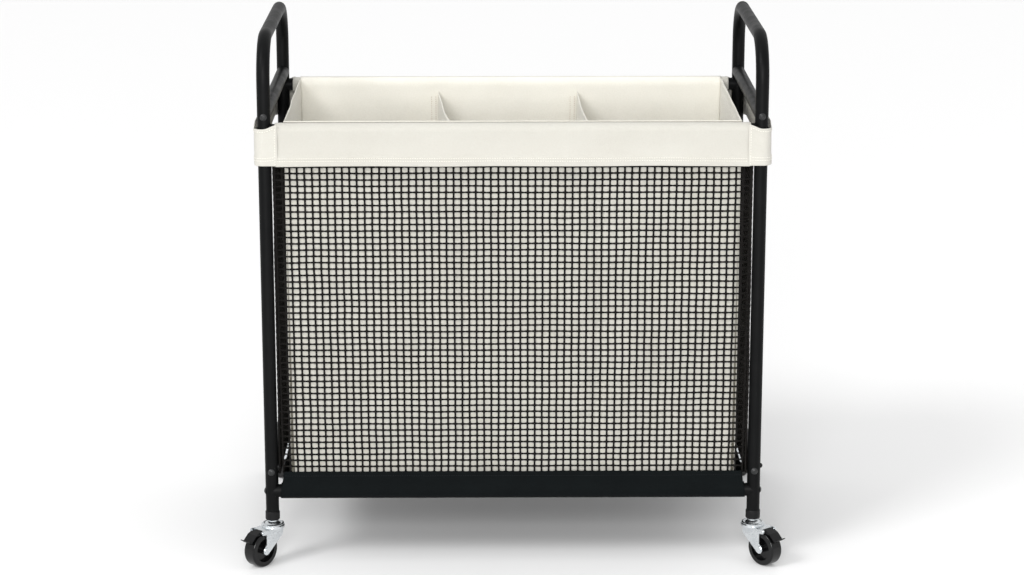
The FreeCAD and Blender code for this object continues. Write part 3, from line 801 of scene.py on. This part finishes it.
def skirt_surface(seed):
    """Front skirt, with a bound top edge; it is slack on its face and taut round the rail."""
    def place(u, v):
        d = (1 - v) * SKIRT_LENGTH
        out, z = skirt_profile(d)
        spread = 0.0045 * ease(d / (SKIRT_RISE * 1.3)) - 0.001
        x = (2 * u - 1) * (SKIRT_X + spread)
        slack = 0.0014 * wobble(x, 0, z, 17, seed) + 0.0006 * wobble(x + z, 1, z, 60, seed)
        slack *= ease(d / BINDING) * (1 - 0.75 * ease((d - SKIRT_RISE * 0.8) / 0.01))
        binding = 0.0007 * (1 - ease((d - BINDING) / 0.0012))
        return Vector((x, -(out + slack + binding), z))
    return place


def skirt_side_surface(seed):
    """Left skirt, between the front and rear ones."""
    def place(u, v):
        y = (0.5 - u) * SKIRT_DEPTH
        z = SKIRT_LOW.z + 0.0015 + v * (SKIRT_TOP_Z - SKIRT_LOW.z - 0.0015)
        slack = 0.0012 * wobble(0, y, z, 19, seed)
        binding = 0.0007 * ease((v - 0.84) / 0.03)
        return Vector((-(SKIRT_X - 0.0008 + slack + binding), y, z))
    return place


def floor_surface(u, v):
    """Black floor cloth, seen from below; it sags a little under the boards."""
    x = (2 * u - 1) * (SKIRT_X - 0.001)
    y = (0.5 - v) * (SKIRT_DEPTH + 0.002)
    sag = 0.0012 * math.sin(math.pi * u) * math.sin(math.pi * v)
    dent = 0.0005 * wobble(x, y, 0, 13, 5.5)
    return Vector((x, y, FLOOR_CLOTH_Z - sag + dent))


def build_skirt():
    pieces = []
    level = 1 - BINDING / SKIRT_LENGTH
    for end, seed in (("front", 5.7), ("rear", 9.2)):
        place = facing(skirt_surface(seed), end)
        skirt = cloth("skirt_cloth_" + end, 168, 40, place, black_front)
        row = stitches_between(
            f"skirt_{end}_stitches", place, (0.003, level), (0.997, level),
            2 * SKIRT_X * 0.994, black_thread)
        pieces.append(skirt)
    for side, seed in (("left", 2.9), ("right", 6.1)):
        place = facing(skirt_side_surface(seed), side)
        skirt = cloth("skirt_cloth_" + side, 90, 14, place, black_side)
        pieces.append(skirt)
    floor_cloth = cloth("floor_cloth", 120, 70, floor_surface, black_floor,
                        FLOOR_CLOTH, 0)
    pieces.append(floor_cloth)
    for piece in pieces:
        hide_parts("base_skirt")


# ---------------------------------------------------------------- studio

LAMP_AIM = Vector((0, 0, 0.35))
# Name, place, angle in degrees and strength of each sun
SUNS = (("key", (-1.5, -1.3, 2.1), 20, 1.1), ("top", (0.4, -0.2, 3.0), 80, 0.3))
FRONT_LAMP_PLACE = (-0.2, -4.4, 1.75)
FRONT_LAMP_SIZE = 1.6
FRONT_LAMP_WATTS = 128
SURROUND_STRENGTH = 0.80
FLOOR_GREY = 0.86

CAMERA_PLACE = (-0.0346, -3.965, 1.370)
CAMERA_DOWN = 14.24
CAMERA_TURN = -0.504
FOCAL_LENGTH_MM = 95.98


def add_lamp(name, lamp, place):
    holder = bpy.data.objects.new(name, lamp)
    holder.location = place
    holder.rotation_euler = (LAMP_AIM - Vector(place)).to_track_quat("-Z", "Y").to_euler()
    scene.collection.objects.link(holder)


def build_studio():
    """Pale floor, white surroundings, two soft suns and an area light in front."""
    ground = bpy.data.meshes.new("studio_floor")
    corners = [(-14, -8, 0), (14, -8, 0), (14, 20, 0), (-14, 20, 0)]
    ground.from_pydata(corners, [], [(0, 1, 2, 3)])
    ground_object = bpy.data.objects.new("studio_floor", ground)
    scene.collection.objects.link(ground_object)
    pale = Nodes("studio_floor")
    pale.shader.inputs["Base Color"].default_value = (FLOOR_GREY, FLOOR_GREY, FLOOR_GREY, 1)
    pale.shader.inputs["Roughness"].default_value = 0.9
    pale.shader.inputs["Specular IOR Level"].default_value = 0.1
    ground.materials.append(pale.material)
    world = bpy.data.worlds.new("studio")
    scene.world = world
    world.use_nodes = True
    surround = world.node_tree.nodes["Background"]
    surround.inputs["Color"].default_value = (1, 1, 1, 1)
    surround.inputs["Strength"].default_value = SURROUND_STRENGTH
    for name, place, spread, power in SUNS:
        lamp = bpy.data.lights.new(name, "SUN")
        lamp.angle = math.radians(spread)
        lamp.energy = power
        add_lamp(name, lamp, place)
    front = bpy.data.lights.new("front", "AREA")
    front.size = FRONT_LAMP_SIZE
    front.energy = FRONT_LAMP_WATTS
    add_lamp("front", front, FRONT_LAMP_PLACE)
    scene.view_settings.view_transform = "Standard"


def build_camera():
    """View from the front and above the rim, looking down a little."""
    lens = bpy.data.cameras.new("camera")
    lens.sensor_width = 36.0
    lens.lens = FOCAL_LENGTH_MM
    lens.clip_end = 60
    camera = bpy.data.objects.new("camera", lens)
    camera.location = CAMERA_PLACE
    camera.rotation_euler = (math.radians(90 - CAMERA_DOWN), 0, math.radians(CAMERA_TURN))
    scene.collection.objects.link(camera)
    scene.camera = camera


build_camera()
build_studio()
dress_cad_nodes()
build_headers()
build_liner()
build_nets()
build_skirt()
